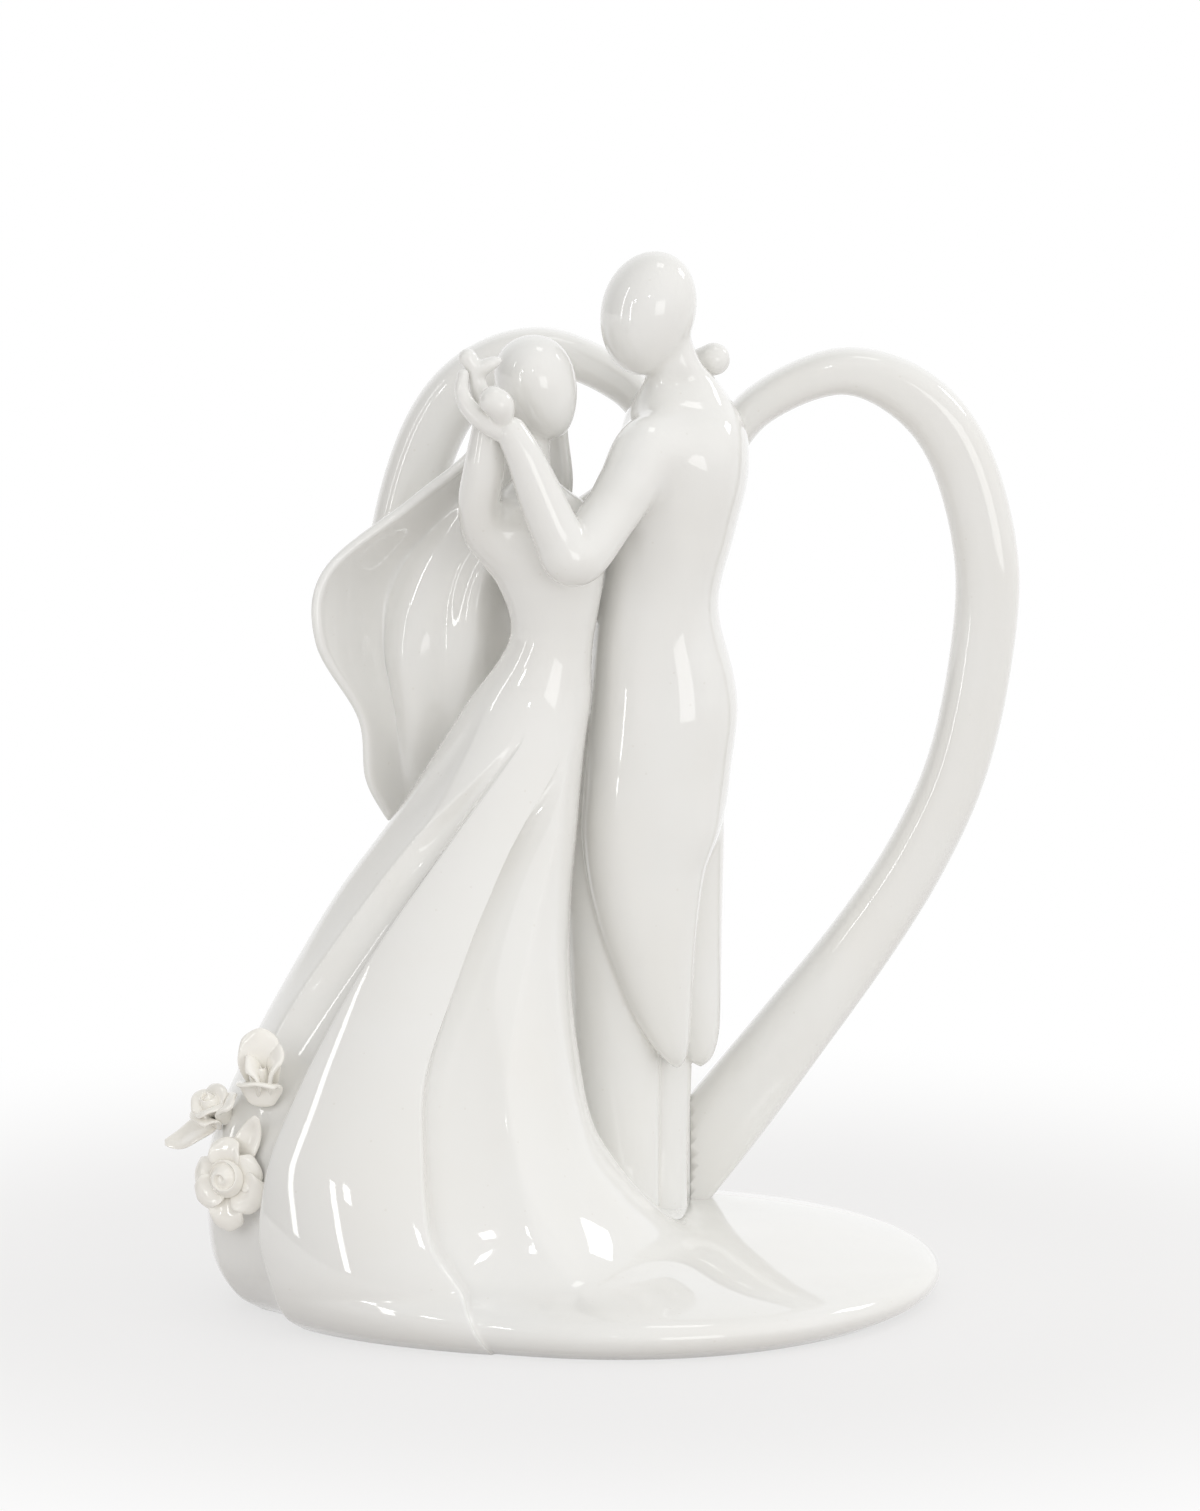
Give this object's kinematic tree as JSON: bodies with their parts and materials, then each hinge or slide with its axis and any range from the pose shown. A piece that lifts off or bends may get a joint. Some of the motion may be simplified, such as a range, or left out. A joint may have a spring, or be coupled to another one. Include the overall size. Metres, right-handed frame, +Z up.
{
  "type": "cake topper",
  "caption": "White glazed porcelain figure of a dancing bride and groom before a tall open heart, with a sweeping train whose flat underside rests on a cake or shelf.",
  "frame": {"origin": "middle of the base's flat underside, on the surface that it stands on", "axes": "+Z up, the heart's plane lies along X and Z, -Y faces the viewer, the bride is on the -X side"},
  "size_m": [0.1645, 0.1288, 0.2034],
  "materials": {
    "glaze": "clear glossy glaze on white porcelain",
    "petal_glaze": "thin clear glaze on hand-modelled ivory porcelain petals"
  },
  "bodies": {
    "root": {"bride_bodice": "glaze", "bride_head": "glaze", "bride_left_arm": "glaze", "bride_left_hand": "glaze", "bride_right_arm": "glaze", "bride_right_hand": "glaze", "gown": "glaze", "groom_coat": "glaze", "groom_head": "glaze", "groom_left_arm": "glaze", "groom_left_hand": "glaze", "groom_left_leg": "glaze", "groom_right_arm": "glaze", "groom_right_hand": "glaze", "groom_right_leg": "glaze", "heart_left_half": "glaze", "heart_right_half": "glaze", "rose_left_bud": "petal_glaze", "rose_left_leaf": "petal_glaze", "rose_left_petal_1": "petal_glaze", "rose_left_petal_2": "petal_glaze", "rose_left_petal_3": "petal_glaze", "rose_lower_bud": "petal_glaze", "rose_lower_leaf": "petal_glaze", "rose_lower_petal_1": "petal_glaze", "rose_lower_petal_2": "petal_glaze", "rose_lower_petal_3": "petal_glaze", "rose_lower_petal_4": "petal_glaze", "rose_lower_petal_5": "petal_glaze", "rose_upper_bud": "petal_glaze", "rose_upper_petal_1": "petal_glaze", "rose_upper_petal_2": "petal_glaze", "rose_upper_petal_3": "petal_glaze", "veil": "glaze"}
  },
  "joints": []
}
